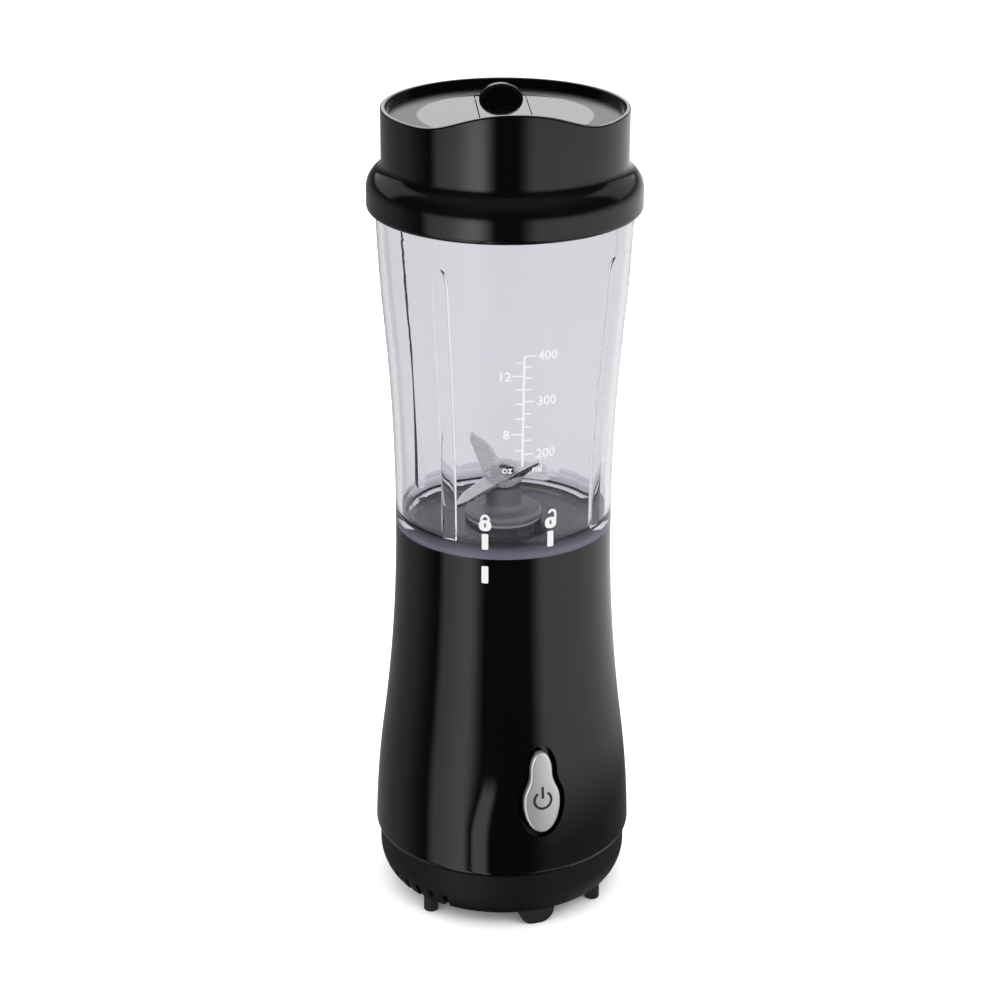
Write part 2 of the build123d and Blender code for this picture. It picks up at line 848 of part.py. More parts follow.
def motor_grommets():
    """Rubber rings between the motor bracket and the deck's bosses."""
    rings = []
    for index in range(4):
        angle = 45 + 90 * index
        outer = post(boss_r, bracket_top, boss_low, boss_place_r, angle)
        rings.append(outer - post(screw_r + 0.2, bracket_top - 1, boss_low + 1, boss_place_r, angle))
    return group(rings)


def motor_screws():
    """Screws that hang the motor bracket from the deck's bosses."""
    screws = []
    for index in range(4):
        angle = 45 + 90 * index
        shank = post(screw_r, bracket_low - 0.5, boss_low + screw_bite - 1, boss_place_r, angle)
        head = post(screw_head_r, bracket_low - screw_head, bracket_low, boss_place_r, angle)
        screws.append(shank + head)
    return group(screws)


def deck_seal():
    """Rubber lip seal where the motor shaft comes up through the deck."""
    return spin_points((motor_shaft_r + 0.3, deck_low), (shaft_seal_r - press_gap, deck_low),
                       (shaft_seal_r - press_gap, deck_top), (motor_shaft_r + 1.6, deck_top),
                       (motor_shaft_r + 0.3, deck_top - 1.2))


# Dog clutch

def clutch_half(disc_low, dog_low, dog_high, start):
    """A clutch disc with dogs, which leave each other room to twist the jar off."""
    body = disc(clutch_r, disc_low, disc_low + clutch_disc)
    for index in range(dog_count):
        angle = start + 360 / dog_count * index
        body = body + sector(dog_outer_r, dog_inner_r, dog_low, dog_high, angle, dog_angle)
    return body


def drive_clutch():
    """Lower half of the clutch, on the motor shaft."""
    body = clutch_half(drive_low, drive_top - 0.5, drive_top + dog_height - 0.2, 0)
    return body - disc(motor_shaft_r + press_gap, drive_low - 1, drive_top - 0.8)


def driven_clutch():
    """Upper half of the clutch, on the blade shaft."""
    disc_low = driven_top - clutch_disc
    body = clutch_half(disc_low, driven_low, disc_low + 0.5, dog_lag)
    return body - disc(blade_shaft_r + press_gap, disc_low + 0.8, driven_top + 1)


# Jar and blade unit

def jar():
    """Clear jar: flared wall, inner ribs, floor, and a skirt with bayonet lugs."""
    inner_neck = neck_r - jar_wall
    wall_foot = waist_r - jar_wall
    round_z = floor_top + jar_floor_round
    envelope = spin(
        Line((waist_r, rim_z), (waist_r, rim_z + jar_land)),
        jar_line.edges(),
        Polyline((neck_r, neck_z), (neck_r, jar_top_z), (0, jar_top_z), (0, rim_z), (waist_r, rim_z)),
    )
    hollow = spin(
        Line((wall_foot, round_z), (wall_foot, rim_z + jar_land)),
        jar_line.edges(jar_wall),
        Polyline((inner_neck, neck_z), (inner_neck, jar_top_z), (0, jar_top_z), (0, floor_top),
                 (wall_foot - jar_floor_round, floor_top)),
        TangentArc((wall_foot - jar_floor_round, floor_top), (wall_foot, round_z), tangent=(1, 0)),
    )
    body = envelope + disc(skirt_r, floor_low, rim_z + 0.5) - hollow
    body = body + ring(skirt_r, skirt_r - skirt_wall, rim_z - skirt_length, rim_z + 0.5)
    for angle in bayonet_angles():
        body = body + sector(lug_r, skirt_r - 1, lug_top - lug_height, lug_top, angle, lug_angle)
    for angle in rib_angles:
        body = body + (Rot(0, 0, angle) * jar_rib() & envelope)
    body = fillet(body.edges().group_by(Axis.Z)[-1], jar_wall / 2 - 0.3)
    return body - disc(stem_r + press_gap, floor_low - 1, floor_top + 1)


def jar_rib():
    """A rounded rib up the inside of the wall, which fades into it at the top."""
    wall = jar_line.edges(jar_wall)[0]
    low = Vector(waist_r - jar_wall, floor_top + jar_floor_round / 2)
    foot_end = Vector(waist_r - jar_wall, rim_z + jar_land)
    height = rim_z + rib_top - rib_fade
    top = wall @ 1
    if height < top.Y:
        wall = wall.trim(0, (height - foot_end.Y) / (top.Y - foot_end.Y))
        top = wall @ 1
        line = [Line(low, foot_end).edge(), wall]
        way = wall % 1
    else:
        upper = jar_line.edges(jar_wall)[1]
        tip = upper @ 1
        upper = upper.trim(0, (height - top.Y) / (tip.Y - top.Y))
        line = [Line(low, foot_end).edge(), wall, upper]
        top = upper @ 1
        way = upper % 1
    fade = TangentArc(top, top + Vector(2 * rib_half_depth, rib_fade), tangent=way)
    path = Plane(origin=(0, 0, 0), x_dir=(0, -1, 0), z_dir=(-1, 0, 0)) * Wire(line + [fade.edge()])
    start = Plane(origin=path @ 0, x_dir=(1, 0, 0), z_dir=(0, 0, 1))
    section = start * Ellipse(rib_half_width, rib_half_depth)
    return sweep(section, path)


def blade_bushing():
    """Bearing housing through the jar floor: a flange with a tower inside, a stem below."""
    stem_low = floor_low - nut_height
    step_z = flange_z + bushing_flange
    sweep_start = (bushing_tower_r + 2.5, step_z)
    sweep_end = (bushing_tower_r, step_z + 3)
    body = spin(
        Polyline((0, stem_low), (stem_r, stem_low), (stem_r, flange_z), (bushing_flange_r, flange_z),
                 (bushing_flange_r, step_z - 1.2), (bushing_flange_r - 1.2, step_z), sweep_start),
        TangentArc(sweep_start, sweep_end, tangent=(-1, 0.1)),
        Polyline(sweep_end, (bushing_tower_r, tower_top), (0, tower_top), (0, stem_low)),
    )
    return body - disc(sleeve_r + press_gap, stem_low - 1, tower_top + 1)


def blade_sleeve():
    """Bronze sleeve bearing inside the bushing."""
    return ring(sleeve_r, blade_shaft_r + running_gap, floor_low - nut_height, tower_top - seal_height)


def blade_seal():
    """Rubber shaft seal at the top of the bushing."""
    return ring(sleeve_r, blade_shaft_r + 0.3, tower_top - seal_height, tower_top)


def bushing_gasket():
    """Flat silicone ring between the bushing's flange and the jar floor."""
    return ring(bushing_flange_r - 0.6, stem_r + 0.2, floor_top, flange_z)


def bushing_nut():
    """Round nut with grips that clamps the bushing from below the floor."""
    body = ring(nut_r, stem_r + press_gap, floor_low - nut_height, floor_low)
    notch = Pos(0, -nut_r, floor_low - nut_height - 1) * Box(3, 2.4, nut_height + 2, align=BASE)
    for index in range(8):
        body = body - Rot(0, 0, 45 * index) * notch
    return body


def blade_shaft():
    """Shaft from the driven clutch up to the cap nut."""
    shaft = disc(blade_shaft_r, driven_top - clutch_disc + 0.8, cap_nut_z + cap_nut_height - 1.2)
    return chamfer(shaft.edges(), 0.4)


def blade_spacer():
    """Collar that holds the blades clear of the seal."""
    return ring(spacer_r, blade_shaft_r + press_gap, spacer_z, spacer_z + spacer_height)


def blade(low, tilt, turn):
    """A pressed blade: a round hub and two sharpened wings, bent up or down."""
    body = disc(blade_hub_r, low, low + blade_thickness)
    bend = blade_hub_r - 1.5
    wing = Polyline((-blade_root / 2, 0), (blade_root / 2, 0), (blade_root / 2 - 0.5, blade_reach * 0.45),
                    (blade_tip / 2 - 2.2, blade_reach - bend),
                    (-blade_tip / 2, blade_reach - bend - 3), close=True)
    plate = extrude(make_face(wing), blade_thickness)
    edge = plate.edges().filter_by(Plane.XY).group_by(Axis.Z)[-1].sort_by(Axis.X)[-2:]
    plate = chamfer(edge, blade_thickness * 0.7, blade_thickness * 1.6)
    root = Pos(0, -bend, low) * Rot(0, 0, 180) * Rot(tilt, 0, 0) * plate
    for half in (0, 180):
        body = body + Rot(0, 0, half) * root
    body = body - disc(blade_shaft_r + press_gap, low - 1, low + blade_thickness + 1)
    return Rot(0, 0, turn) * body


def upper_blade():
    return blade(upper_blade_z, upper_blade_tilt, 20)


def lower_blade():
    return blade(lower_blade_z, lower_blade_tilt, 110)


def blade_cap_nut():
    """Domed hexagon nut on top of the blades."""
    prism = extrude(RegularPolygon(cap_nut_flats / 2, 6, major_radius=False), cap_nut_height)
    dome = Pos(0, 0, cap_nut_height - 9.5) * Sphere(9.5)
    nut = Pos(0, 0, cap_nut_z) * (prism & dome)
    return nut - disc(blade_shaft_r + press_gap, cap_nut_z - 1, cap_nut_z + cap_nut_height - 1.2)


# Drinking lid, built facing the front and turned to its place at the end

def turned(shape):
    """Turns a lid piece to the direction of the drinking lip."""
    return Rot(0, 0, spout_angle) * shape


def lid_gasket():
    """Silicone ring that seals the jar's rim to the lid."""
    return ring(neck_r + 0.8, neck_r - jar_wall - 0.1, jar_top_z, seat_z)


def travel_lid():
    """Screw-on lid: threaded skirt, shoulder, drinking wall with a raised lip, and a recessed disc."""
    flange_top = lid_z + flange_rise
    convex = JernArc((flange_r, flange_top), (0, 1), shoulder_round, shoulder_turn)
    hollow = JernArc(convex @ 1, convex % 1, shoulder_hollow, -shoulder_turn)
    wall_top = lip_z + 1
    body = spin(
        TangentArc((flange_r, lid_z + flange_edge), (flange_r - flange_edge, lid_z), tangent=(0, -1)),
        Line((flange_r, lid_z + flange_edge), (flange_r, flange_top)),
        convex,
        hollow,
        Polyline(hollow @ 1, (lid_wall_r, lip_z), (lid_wall_r, wall_top), (0, wall_top), (0, lid_z),
                 (flange_r - flange_edge, lid_z)),
    )
    plug_outer = neck_r - jar_wall - loose_gap
    plug_low = seat_z - plug_length
    cavity_r = plug_outer - plug_wall
    under = disc_z - disc_thickness
    body = body - disc(neck_r + skirt_gap, lid_z - 1, plug_low)
    body = body - ring(neck_r + skirt_gap, plug_outer, plug_low - 0.5, seat_z)
    body = body - disc(cavity_r, lid_z - 1, under)
    body = body - disc(lid_wall_r - lid_wall, disc_z, wall_top + 1)
    body = body - rim_cut(wall_top + 5)
    tops = [face for face in body.faces() if face.center().Z > lid_rim_z - 1 and face.normal_at().Z > 0.5]
    rim = ShapeList(edge for face in tops for edge in face.edges())
    rim = ShapeList(edge for edge in rim if edge.length > 20)
    body = fillet(rim, rim_round)
    trough = flap_trough(trough_wall, disc_z - trough_depth - trough_wall, disc_z - 0.2) & disc(
        cavity_r + 0.2, under - 20, disc_z)
    body = body + trough - flap_trough(0, disc_z - trough_depth, disc_z + 2)
    hole = Pos(0, sip_y, disc_z - 20) * extrude(SlotOverall(sip_length, sip_width), 20)
    body = body - hole
    bore = Pos(0, hinge_y, pin_z) * Rot(0, 90, 0) * Cylinder(hinge_pin_r + running_gap, pin_length() + 0.4)
    return turned(body - bore)


def rim_cut(high):
    """What is cut off above the rim: a flat back and sides, and a smooth raised lip at the front."""
    far = lid_wall_r + 10
    flat = Pos(0, far / 2, lid_rim_z) * Box(2 * far, far, high - lid_rim_z, align=BASE)
    near = lip_half_width - lip_ease
    end = lip_half_width
    right = Bezier((0, lip_z), (lip_crown, lip_z), (near, lid_rim_z), (end, lid_rim_z))
    left = Bezier((0, lip_z), (-lip_crown, lip_z), (-near, lid_rim_z), (-end, lid_rim_z))
    frame = Polyline((end, lid_rim_z), (far, lid_rim_z), (far, high), (-far, high), (-far, lid_rim_z),
                     (-end, lid_rim_z))
    wave = make_face(right.edges() + left.edges() + frame.edges())
    return flat + extrude(Plane.XZ * wave, far)


def flap_trough(wall, low, high):
    """The slot that the flap lies in, grown by a wall."""
    half = flap_width / 2 + loose_gap + wall
    front = flap_front + loose_gap + wall
    back = hinge_y + knuckle_r + loose_gap + wall
    box = Pos(0, (back - front) / 2, low) * Box(2 * half, front + back, high - low, align=BASE)
    return fillet(box.edges().filter_by(Axis.Z).sort_by(Axis.Y)[:2], flap_corner + wall)


def pin_length():
    return flap_width + 2 * loose_gap + 2 * (trough_wall - 0.5)


def flap_hinge_pin():
    """Steel pin that the flap turns on, held in the trough's sides."""
    return turned(Pos(0, hinge_y, pin_z) * Rot(0, 90, 0) * Cylinder(hinge_pin_r, pin_length()))


def sip_flap():
    """Flap over the sip hole: a flush strip with a hinge knuckle and an upright thumb tab."""
    top = disc_z + 0.15
    arm = Pos(0, (hinge_y - flap_front) / 2, top - flap_thickness) * Box(
        flap_width, hinge_y + flap_front, flap_thickness, align=BASE)
    arm = fillet(arm.edges().filter_by(Axis.Z).sort_by(Axis.Y)[:2], flap_corner)
    knuckle = Pos(0, hinge_y, pin_z) * Rot(0, 90, 0) * Cylinder(knuckle_r, flap_width)
    oval = Plane.XZ * Pos(0, disc_z) * Ellipse(tab_half_width, tab_half_height)
    tab = Pos(0, tab_y + tab_thickness / 2, 0) * extrude(oval, tab_thickness)
    tab = fillet(tab.edges(), tab_round)
    body = arm + knuckle + (tab - disc(60, disc_z - 20, disc_z - 0.2))
    bore = Pos(0, hinge_y, pin_z) * Rot(0, 90, 0) * Cylinder(hinge_pin_r + running_gap, flap_width + 2)
    return turned(body - bore)


def flap_plug():
    """Silicone stopper bonded under the flap, in the sip hole."""
    high = disc_z + 0.15 - flap_thickness
    seat = disc_z - trough_depth + 0.3
    pad = Pos(0, sip_y, seat) * extrude(SlotOverall(sip_length + 2.4, sip_width + 2.4), high - seat)
    low = disc_z - trough_depth - trough_wall
    core = Pos(0, sip_y, low) * extrude(
        SlotOverall(sip_length - 2 * loose_gap, sip_width - 2 * loose_gap), seat - low + 0.2)
    return turned(pad + core)


# One file per piece

pieces = {
    "base_housing": base_housing(),
    "bottom_cover": bottom_cover(),
    "cord_grommet": cord_grommet(),
    "cover_screws": cover_screws(),
    "power_button": power_button(),
    "switch_plunger": switch_plunger(),
    "switch_body": switch_body(),
    "switch_carrier": switch_carrier(),
    "carrier_screws": carrier_screws(),
    "upper_bracket": upper_bracket(),
    "upper_bearing": upper_bearing(),
    "lower_bracket": lower_bracket(),
    "lower_bearing": lower_bearing(),
    "stator_core": stator_core(),
    "front_field_coil": field_coil(-1),
    "rear_field_coil": field_coil(1),
    "armature_core": armature_core(),
    "armature_winding": armature_winding(),
    "commutator": commutator(),
    "motor_shaft": motor_shaft(),
    "front_brush_holder": brush_holder(-1),
    "rear_brush_holder": brush_holder(1),
    "front_carbon_brush": carbon_brush(-1),
    "rear_carbon_brush": carbon_brush(1),
    "cooling_fan": cooling_fan(),
    "tie_screws": tie_screws(),
    "motor_grommets": motor_grommets(),
    "motor_screws": motor_screws(),
    "deck_seal": deck_seal(),
    "drive_clutch": drive_clutch(),
    "driven_clutch": driven_clutch(),
    "jar": jar(),
    "blade_bushing": blade_bushing(),
    "blade_sleeve": blade_sleeve(),
    "blade_seal": blade_seal(),
    "bushing_gasket": bushing_gasket(),
    "bushing_nut": bushing_nut(),
    "blade_shaft": blade_shaft(),
    "blade_spacer": blade_spacer(),
    "upper_blade": upper_blade(),
    "lower_blade": lower_blade(),
    "blade_cap_nut": blade_cap_nut(),
    "lid_gasket": lid_gasket(),
    "travel_lid": travel_lid(),
    "flap_hinge_pin": flap_hinge_pin(),
    "sip_flap": sip_flap(),
    "flap_plug": flap_plug(),
}
feet = [(angle, lobe_foot) for angle in lobe_angles] + [(angle, stud_foot) for angle in stud_angles]
for number, (angle, make) in enumerate(sorted(feet, key=lambda item: item[0]), start=1):
    pieces[f"foot_{number}"] = make(angle)

os.makedirs("parts", exist_ok=True)
for name, piece in pieces.items():
    export_step(piece, f"parts/{name}.step")
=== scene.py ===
import bpy
import numpy as np
from mathutils import Matrix


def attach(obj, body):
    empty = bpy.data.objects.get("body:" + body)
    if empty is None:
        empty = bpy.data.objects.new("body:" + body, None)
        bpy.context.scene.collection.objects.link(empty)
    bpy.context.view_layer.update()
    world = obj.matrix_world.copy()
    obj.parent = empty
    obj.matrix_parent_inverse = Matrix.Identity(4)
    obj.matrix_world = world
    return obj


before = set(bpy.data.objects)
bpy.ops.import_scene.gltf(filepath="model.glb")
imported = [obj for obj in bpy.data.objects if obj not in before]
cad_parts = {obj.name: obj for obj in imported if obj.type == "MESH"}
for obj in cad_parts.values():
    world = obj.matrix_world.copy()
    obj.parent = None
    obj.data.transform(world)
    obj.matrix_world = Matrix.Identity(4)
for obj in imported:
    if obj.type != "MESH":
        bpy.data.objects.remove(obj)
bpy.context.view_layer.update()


# Feet and rubber seals: two wide lobes and four round studs of black rubber under the cover,
# each moulded with a peg that is pressed into a hole. The cord inlet's ring, the shaft
# seals and the motor's soft mounts are moulded from the same rubber.

class Wire:
    """A socket of a shader tree. Arithmetic adds Math nodes, and make() adds any other node."""

    def __init__(self, tree, socket=None):
        self.tree = tree
        self.socket = socket

    def make(self, kind, settings=None, inputs=None, out=0):
        """Adds a node: its settings first, then the values or links of its sockets."""
        node = self.tree.nodes.new(kind)
        for name, value in (settings or {}).items():
            setattr(node, name, value)
        for name, value in (inputs or {}).items():
            if isinstance(value, Wire):
                self.tree.links.new(value.socket, node.inputs[name])
            else:
                node.inputs[name].default_value = value
        return Wire(self.tree, node.outputs[out])

    def math(self, operation, *values):
        return self.make("ShaderNodeMath", {"operation": operation}, dict(enumerate(values)))

    def __add__(self, other):
        return self.math("ADD", self, other)

    def __sub__(self, other):
        return self.math("SUBTRACT", self, other)

    def __rsub__(self, other):
        return self.math("SUBTRACT", other, self)

    def __mul__(self, other):
        return self.math("MULTIPLY", self, other)

    __radd__ = __add__
    __rmul__ = __mul__

    def step(self, low, high):
        """Eases from 0 to 1 as the value goes from low to high."""
        return self.make("ShaderNodeMapRange", {"interpolation_type": "SMOOTHSTEP"},
                         {"Value": self, "From Min": low, "From Max": high})

    def between(self, low, high, soft):
        """1 between low and high, easing to 0 over soft on both sides."""
        return self.step(low - soft, low + soft) * (1 - self.step(high - soft, high + soft))

    def blend(self, first, second):
        """A colour that goes from first to second as the value goes from 0 to 1."""
        return self.make("ShaderNodeMix", {"data_type": "RGBA"},
                         {"Factor": self, 6: (*first, 1.0), 7: (*second, 1.0)}, out=2)

    def along(self, axis):
        """How far this vector goes along a fixed direction."""
        return self.make("ShaderNodeVectorMath", {"operation": "DOT_PRODUCT"},
                         {0: self, 1: tuple(axis)}, out="Value")

    def parts(self):
        """The x, y and z of this vector."""
        split = self.make("ShaderNodeSeparateXYZ", None, {"Vector": self}).socket.node
        return [Wire(self.tree, split.outputs[axis]) for axis in range(3)]

    def into(self, shader, socket):
        self.tree.links.new(self.socket, shader.inputs[socket])

    def onto(self, output):
        """Makes this shader the surface of a material or of the world."""
        self.into(self.tree.nodes[output], "Surface")


def new_finish(name, **fixed):
    """A material with one Principled shader; fixed values are set on the shader's own sockets."""
    finish = bpy.data.materials.new(name)
    finish.use_nodes = True
    shader = finish.node_tree.nodes["Principled BSDF"]
    for socket, value in fixed.items():
        shader.inputs[socket.replace("_", " ")].default_value = value
    return finish, Wire(finish.node_tree), shader


mm_per_m = 1000


def place_on(root):
    """The point that is being shaded, in metres, as it lies at rest."""
    return root.make("ShaderNodeTexCoord", out="Object")


def noise(root, size_mm, detail=2.0, stretch=None):
    """Soft noise whose lumps are about size_mm across, drawn out by stretch along x, y and z."""
    spot = place_on(root)
    if stretch:
        spot = root.make("ShaderNodeMapping", None, {"Vector": spot, "Scale": stretch})
    return root.make("ShaderNodeTexNoise", None,
                     {"Vector": spot, "Scale": mm_per_m / size_mm, "Detail": detail})


def bump(root, shader, height, depth_mm, strength=1.0):
    """Feeds a height through a Bump node to the shader's Normal."""
    root.make("ShaderNodeBump", None, {"Height": height, "Distance": depth_mm / mm_per_m,
                                       "Strength": strength}).into(shader, "Normal")


def moulded(name, deep, pale, rough, drift_mm, grain_mm, grain_depth_mm, **fixed):
    """A moulded finish: the tone drifts between two colours, and a fine grain roughens and
    bumps it."""
    finish, root, shader = new_finish(name, **fixed)
    drift = noise(root, drift_mm)
    grain = noise(root, grain_mm, detail=3.0)
    (drift * 0.7 + grain * 0.3).blend(deep, pale).into(shader, "Base Color")
    (rough[0] + (drift * 0.4 + grain * 0.6) * (rough[1] - rough[0])).into(shader, "Roughness")
    bump(root, shader, grain, grain_depth_mm)
    return finish


def dress(finish, *names):
    """Gives CAD nodes a finish."""
    for name in names:
        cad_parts[name].material_slots[0].material = finish


foot_count = 6
black_rubber = moulded("black_rubber", (0.006, 0.006, 0.0065), (0.016, 0.016, 0.017), (0.55, 0.8),
                       drift_mm=9, grain_mm=0.35, grain_depth_mm=0.03)
dress(black_rubber, *[f"foot_{number + 1}" for number in range(foot_count)])
dress(black_rubber, "cord_grommet", "deck_seal", "motor_grommets", "blade_seal")


# Bottom cover: the lower shell, moulded in black plastic with a fine spark-eroded grain.
# Four screws draw it up to posts inside the housing; air leaves through its slots.

matt_black = moulded("matt_black", (0.004, 0.004, 0.0042), (0.0075, 0.0075, 0.0078), (0.42, 0.58),
                     drift_mm=14, grain_mm=0.28, grain_depth_mm=0.022, Specular_IOR_Level=0.22)
dress(matt_black, "bottom_cover", "switch_carrier", "lower_bracket", "upper_bracket")


# Base housing: the waisted outer shell, moulded in gloss black plastic from a polished tool.
# It holds the jar's socket and the button's moat, and carries the motor on inner bosses.

disc_low = 0.3177
disc_high = 0.3184
satin_inner_r = 0.0326
satin_outer_r = 0.0437


def from_axis(root):
    """The shaded point's distance from the upright axis and its height, in metres."""
    x, y, height = place_on(root).parts()
    return root.math("SQRT", x * x + y * y), height


def polished(name, rough, satin=0.0):
    """Polished black plastic: near black, with faint flow marks and hairline rubs in the gloss. The
    outer ring of the lid's sunk disc can be given a satin finish, by its height and radius."""
    finish, root, shader = new_finish(name, IOR=1.5)
    flow = noise(root, 26, stretch=(1.0, 1.0, 0.35))
    rubs = noise(root, 0.9, detail=4.0, stretch=(1.0, 1.0, 0.08))
    dust = noise(root, 0.5, detail=1.0).step(0.74, 0.80)
    tone = flow * 0.6 + dust * 0.4
    tone.blend((0.0016, 0.0016, 0.0018), (0.0042, 0.0042, 0.0046)).into(shader, "Base Color")
    gloss = rough + flow * 0.025 + rubs.step(0.62, 0.9) * 0.05 + dust * 0.06
    if satin:
        radius, height = from_axis(root)
        on_disc = height.between(disc_low, disc_high, 0.0001)
        gloss = gloss + on_disc * radius.between(satin_inner_r, satin_outer_r, 0.0002) * satin
    gloss.into(shader, "Roughness")
    bump(root, shader, flow, 0.004, strength=0.3)
    return finish


gloss_black = polished("gloss_black", rough=0.045)
dress(gloss_black, "base_housing")


# Printed marks: white ink put on with a soft pad. The base carries one bar below its rim,
# and the jar carries its scale and the two lock signs.

waist_r = 42.0
rim_z = 157.7
base_bend = (47.7, 71.7)
base_belly = (51.2, 27.8)
film_low = 0.03
film_high = 0.09


def flare(z, start, bend, end):
    """Radius of an S-shaped wall at heights z: an arc that leaves start upright and passes through
    bend, then the arc that goes on from it without a kink and ends at end. Points are (radius, z)."""
    out, rise = bend[0] - start[0], bend[1] - start[1]
    first_r = (out ** 2 + rise ** 2) / (2 * out)
    first = start[0] + first_r - np.sqrt(np.maximum(first_r ** 2 - (z - start[1]) ** 2, 0))
    lean = np.array([rise / np.sqrt(first_r ** 2 - rise ** 2), 1.0])
    square = np.array([-lean[1], lean[0]]) / np.linalg.norm(lean)
    chord = np.array([end[0] - bend[0], end[1] - bend[1]])
    second_r = chord @ chord / (2 * square @ chord)
    centre = np.array(bend) + square * second_r
    side = np.sign(bend[0] - centre[0])
    second = centre[0] + side * np.sqrt(np.maximum(second_r ** 2 - (z - centre[1]) ** 2, 0))
    return np.where(np.abs(z - start[1]) < abs(rise), first, second)


def base_wall(z):
    """Radius of the housing's outside at heights z."""
    return flare(z, (waist_r, rim_z), base_bend, base_belly)


def film(edge_a, edge_b, closed=False, across=5):
    """A thin plate between two edges, each n points (x, y) in mm: the points between them are
    edge_a + (edge_b - edge_a) * s, in a lower and an upper layer. Returns points and faces."""
    share = np.linspace(0, 1, across)[None, :, None]
    flat = edge_a[:, None, :] * (1 - share) + edge_b[:, None, :] * share
    rows = len(edge_a)
    layers = [np.dstack([flat, np.full((rows, across), level)])
              for level in (film_low, film_high)]
    points = np.concatenate([layer.reshape(-1, 3) for layer in layers])
    index = np.arange(rows * across).reshape(rows, across)
    ahead = np.roll(index, -1, axis=0) if closed else index[1:]
    here = index if closed else index[:-1]
    upper = rows * across

    def quads(a, b, c, d):
        return np.stack([a.ravel(), b.ravel(), c.ravel(), d.ravel()], axis=1)

    top = quads(here[:, :-1], here[:, 1:], ahead[:, 1:], ahead[:, :-1]) + upper
    faces = [top, top[:, ::-1] - upper]
    faces.append(quads(here[:, 0], here[:, 0] + upper, ahead[:, 0] + upper, ahead[:, 0]))
    faces.append(quads(here[:, -1], ahead[:, -1], ahead[:, -1] + upper, here[:, -1] + upper))
    if not closed:
        first, last = index[0], index[-1]
        faces.append(quads(first[:-1], first[1:], first[1:] + upper, first[:-1] + upper))
        faces.append(quads(last[:-1], last[:-1] + upper, last[1:] + upper, last[1:]))
    return points, np.concatenate(faces)


def bar(low, high, width, soft=0.5, rows=40):
    """An upright bar with rounded corners: its half width shrinks as a quarter circle at both
    ends, where the rows lie closer."""
    t = (1 - np.cos(np.linspace(0, np.pi, rows))) / 2
    y = low + (high - low) * t
    near = np.clip(np.minimum(y - low, high - y) / soft, 0, 1)
    half = width / 2 - soft + soft * np.sqrt(1 - (1 - near) ** 2)
    return film(np.stack([-half, y], axis=1), np.stack([half, y], axis=1))


def stroke(points, width):
    """A line of even width along points (x, y): the edges lie half the width to each side of it."""
    way = np.gradient(points, axis=0)
    way /= np.linalg.norm(way, axis=1, keepdims=True)
    side = np.stack([way[:, 1], -way[:, 0]], axis=1) * width / 2
    return film(points - side, points + side)


def wrapped(points, wall, turn):
    """Lays flat points on a wall of revolution: x runs round it from the direction turn, in degrees
    from the front, y is the height, and z stands out from the wall."""
    radius = wall(points[:, 1]) + points[:, 2]
    angle = np.radians(turn) + points[:, 0] / wall(points[:, 1])
    return np.stack([radius * np.sin(angle), -radius * np.cos(angle), points[:, 1]], axis=1)


def together(parts):
    """Joins the points and faces of several parts."""
    counts = np.cumsum([0] + [len(points) for points, faces in parts])
    points = np.concatenate([points for points, faces in parts])
    faces = [[spot + count for spot in face]
             for (_, faces), count in zip(parts, counts) for face in faces]
    return points, faces


def mesh_object(name, points, faces, finish, smooth=False):
    """A new mesh object from points in metres."""
    mesh = bpy.data.meshes.new(name)
    mesh.from_pydata(points, [], [list(face) for face in faces])
    mesh.polygons.foreach_set("use_smooth", np.full(len(mesh.polygons), smooth))
    mesh.materials.append(finish)
    mesh.update()
    made = bpy.data.objects.new(name, mesh)
    bpy.context.scene.collection.objects.link(made)
    return made


def piece(name, points, faces, finish, body, smooth=False):
    """A piece of the object from points in mm, riding on a body. Ink has no slot of its own."""
    made = mesh_object(name, points / mm_per_m, faces, finish, smooth)
    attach(made, body)


def pad_ink(name, deep, pale):
    """Pad-printing ink: a thin even coat with a soft sheen."""
    return moulded(name, deep, pale, (0.4, 0.55), drift_mm=1.5, grain_mm=0.12, grain_depth_mm=0.01)


white_ink = pad_ink("white_ink", (0.84, 0.84, 0.84), (0.92, 0.92, 0.92))
mark_turn = -27.8
mark_low = 147.9
mark_high = 154.9
mark_width = 2.6
points, faces = bar(mark_low, mark_high, mark_width)
piece("base_mark", wrapped(points, base_wall, mark_turn), faces, white_ink, "base")


# Power button: a pear-shaped cap in silver paint over plastic, pushed in from the front and
# sprung from behind. Its sign is printed in dark ink on the wide lower lobe.

flake_scale = 5200.0


def silver_paint():
    """Silver paint: fine bright flakes over a soft cloud of tone, under a thin clear coat."""
    finish, root, shader = new_finish("silver_paint", Metallic=0.75, Coat_Roughness=0.2)
    cloud = noise(root, 8)
    flake = root.make("ShaderNodeTexVoronoi", None,
                      {"Vector": place_on(root), "Scale": flake_scale})
    tone = cloud * 0.5 + flake * 0.5
    tone.blend((0.66, 0.66, 0.67), (0.86, 0.86, 0.87)).into(shader, "Base Color")
    (0.26 + flake * 0.12 + cloud * 0.05).into(shader, "Roughness")
    (0.15 + cloud * 0.1).into(shader, "Coat Weight")
    bump(root, shader, flake, 0.006, strength=0.4)
    return finish


dress(silver_paint(), "power_button")

sign_z = 58.5
sign_r = 3.45
sign_line = 1.0
sign_gap = np.radians(34)
ring_rows = 72
stem_low = 0.7
stem_high = 5.6
stem_rows = 16
button_proud = 1.2


def button_face(z):
    """Radius of the button's face, which follows the housing's outside."""
    return base_wall(z) + button_proud


